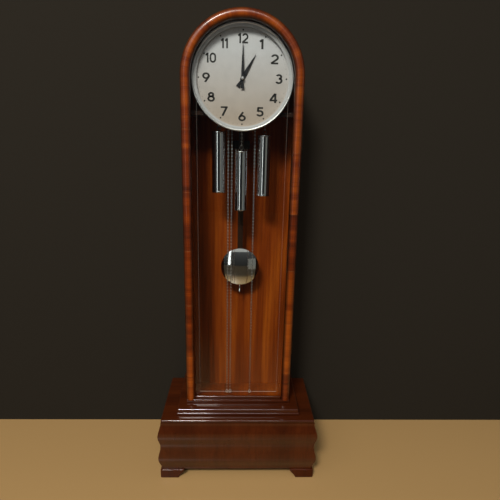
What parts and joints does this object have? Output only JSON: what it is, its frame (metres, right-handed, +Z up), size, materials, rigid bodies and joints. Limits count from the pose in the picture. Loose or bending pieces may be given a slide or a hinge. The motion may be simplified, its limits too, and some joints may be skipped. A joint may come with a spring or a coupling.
{
  "type": "pendulum floor clock",
  "caption": "Arched art deco floor clock with a full-length glazed door, chain-hung chrome weights, a disc pendulum and a swelled mahogany base on bracket feet.",
  "frame": {"origin": "on the floor under the middle of the base", "axes": "+Z up, the dial faces -Y, +X to the right of someone facing the dial"},
  "size_m": [0.6, 0.302, 1.661],
  "materials": {
    "mahogany": "glossy dark red-brown mahogany lacquer",
    "banded_veneer": "glossy orange-brown cross-banded veneer",
    "back_veneer": "satin orange-brown straight-grained veneer",
    "glass": "clear bevelled plate",
    "chrome": "polished",
    "silvered_dial": "satin silver-white with black numerals",
    "gunmetal": "dark satin",
    "brass": "plain",
    "steel": "nickelled",
    "cast_iron": "black",
    "dark_stick": "satin dark stained"
  },
  "bodies": {
    "case": {"base_front": "mahogany", "base_side_left": "mahogany", "base_side_right": "mahogany", "base_back": "mahogany", "base_top_board": "mahogany", "foot_front_left": "mahogany", "foot_front_right": "mahogany", "foot_back_left": "mahogany", "foot_back_right": "mahogany", "upper_plinth": "mahogany", "case_side_left": "mahogany", "case_side_right": "mahogany", "case_arch": "mahogany", "back_board": "back_veneer", "seat_board": "mahogany", "dial_plate": "silvered_dial", "bezel": "chrome", "front_plate": "brass", "back_plate": "brass", "suspension_cock": "brass", "gong_block": "cast_iron", "hinge_lower_case_leaf": "steel", "hinge_upper_case_leaf": "steel", "weight_chain_left": "steel", "weight_chain_centre": "steel", "weight_chain_right": "steel", "free_chain_left": "steel", "free_chain_centre": "steel", "free_chain_right": "steel"},
    "door": {"door_arch": "banded_veneer", "door_stile_left": "banded_veneer", "door_stile_right": "banded_veneer", "door_bottom_rail": "mahogany", "door_glass": "glass", "hinge_lower_door_leaf": "steel", "hinge_upper_door_leaf": "steel"},
    "minute": {"centre_arbor": "brass", "minute_hand": "gunmetal", "hand_nut": "chrome"},
    "hour": {"hour_wheel": "brass", "hour_hand": "gunmetal"},
    "minute_work": {"minute_wheel": "brass"},
    "intermediate": {"intermediate_wheel": "brass"},
    "great": {"going_great_wheel": "brass"},
    "third": {"third_wheel": "brass"},
    "escape": {"escape_wheel": "brass"},
    "pendulum": {"suspension_spring": "steel", "pendulum_rod": "dark_stick", "pendulum_bob": "chrome", "rating_nut": "chrome"},
    "anchor": {"anchor": "brass"},
    "weight_left": {"weight_left": "chrome"},
    "weight_centre": {"weight_centre": "chrome"},
    "weight_right": {"weight_right": "chrome"},
    "strike_chain_wheel": {"strike_chain_wheel": "brass"},
    "going_sprocket": {"going_sprocket": "brass"},
    "chime_chain_wheel": {"chime_chain_wheel": "brass"},
    "chain_ring_left": {"chain_ring_left": "steel"},
    "chain_ring_centre": {"chain_ring_centre": "steel"},
    "chain_ring_right": {"chain_ring_right": "steel"}
  },
  "joints": [
    {"name": "door_hinge", "type": "hinge", "parent": "case", "child": "door", "pos_m": [0.2015, -0.04665, 0.2815], "axis": [0, 0, 1], "range_deg": [0, 110]},
    {"name": "minute_hand_turn", "type": "hinge", "parent": "case", "child": "minute", "pos_m": [0, 0, 1.462], "axis": [0, 1, 0], "continuous": true},
    {"name": "hour_hand_turn", "type": "hinge", "parent": "case", "child": "hour", "pos_m": [0, 0, 1.462], "axis": [0, 1, 0], "continuous": true},
    {"name": "minute_wheel_turn", "type": "hinge", "parent": "case", "child": "minute_work", "pos_m": [0.01697, 0, 1.44503], "axis": [0, 1, 0], "continuous": true},
    {"name": "intermediate_wheel_turn", "type": "hinge", "parent": "case", "child": "intermediate", "pos_m": [0.00806, 0, 1.43623], "axis": [0, 1, 0], "continuous": true},
    {"name": "great_wheel_turn", "type": "hinge", "parent": "case", "child": "great", "pos_m": [-0.0165, 0, 1.4212], "axis": [0, 1, 0], "continuous": true},
    {"name": "third_wheel_turn", "type": "hinge", "parent": "case", "child": "third", "pos_m": [-0.01264, 0, 1.48586], "axis": [0, 1, 0], "continuous": true},
    {"name": "escape_wheel_turn", "type": "hinge", "parent": "case", "child": "escape", "pos_m": [0, 0, 1.508], "axis": [0, 1, 0], "continuous": true},
    {"name": "pendulum_swing", "type": "hinge", "parent": "case", "child": "pendulum", "pos_m": [0, 0.0875, 1.5335], "axis": [0, 1, 0], "range_deg": [-3.5, 3.5]},
    {"name": "anchor_swing", "type": "hinge", "parent": "case", "child": "anchor", "pos_m": [0, 0, 1.5335], "axis": [0, 1, 0], "range_deg": [-3.6, 3.6]},
    {"name": "weight_left_run", "type": "slide", "parent": "case", "child": "weight_left", "axis": [0, 0, -1], "range_m": [0, 0.72], "deforming": ["weight_chain_left"]},
    {"name": "weight_centre_run", "type": "slide", "parent": "case", "child": "weight_centre", "axis": [0, 0, -1], "range_m": [0, 0.72], "deforming": ["weight_chain_centre"]},
    {"name": "weight_right_run", "type": "slide", "parent": "case", "child": "weight_right", "axis": [0, 0, -1], "range_m": [0, 0.72], "deforming": ["weight_chain_right"]},
    {"name": "strike_chain_wheel_turn", "type": "hinge", "parent": "case", "child": "strike_chain_wheel", "pos_m": [-0.062, 0, 1.4212], "axis": [0, 1, 0], "range_deg": [-2510, 0]},
    {"name": "going_sprocket_turn", "type": "hinge", "parent": "case", "child": "going_sprocket", "pos_m": [-0.0165, 0, 1.4212], "axis": [0, 1, 0], "range_deg": [0, 2510]},
    {"name": "chime_chain_wheel_turn", "type": "hinge", "parent": "case", "child": "chime_chain_wheel", "pos_m": [0.062, 0, 1.4212], "axis": [0, 1, 0], "range_deg": [0, 2510]},
    {"name": "chain_ring_left_rise", "type": "slide", "parent": "case", "child": "chain_ring_left", "axis": [0, 0, 1], "range_m": [0, 0.72], "deforming": ["free_chain_left"]},
    {"name": "chain_ring_centre_rise", "type": "slide", "parent": "case", "child": "chain_ring_centre", "axis": [0, 0, 1], "range_m": [0, 0.72], "deforming": ["free_chain_centre"]},
    {"name": "chain_ring_right_rise", "type": "slide", "parent": "case", "child": "chain_ring_right", "axis": [0, 0, 1], "range_m": [0, 0.72], "deforming": ["free_chain_right"]}
  ],
  "couplings": [
    {"joint": "hour_hand_turn", "follows": "minute_hand_turn", "ratio": 0.083333},
    {"joint": "minute_wheel_turn", "follows": "minute_hand_turn", "ratio": -0.33333},
    {"joint": "intermediate_wheel_turn", "follows": "minute_hand_turn", "ratio": -0.25},
    {"joint": "great_wheel_turn", "follows": "minute_hand_turn", "ratio": 0.035714},
    {"joint": "third_wheel_turn", "follows": "minute_hand_turn", "ratio": -8},
    {"joint": "escape_wheel_turn", "follows": "minute_hand_turn", "ratio": 60},
    {"joint": "anchor_swing", "follows": "pendulum_swing", "ratio": 1},
    {"joint": "strike_chain_wheel_turn", "follows": "weight_left_run", "rad_per_m": -60.606},
    {"joint": "going_sprocket_turn", "follows": "weight_centre_run", "rad_per_m": 60.606},
    {"joint": "chime_chain_wheel_turn", "follows": "weight_right_run", "rad_per_m": 60.606},
    {"joint": "chain_ring_left_rise", "follows": "weight_left_run", "ratio": 1},
    {"joint": "chain_ring_centre_rise", "follows": "weight_centre_run", "ratio": 1},
    {"joint": "chain_ring_right_rise", "follows": "weight_right_run", "ratio": 1}
  ]
}
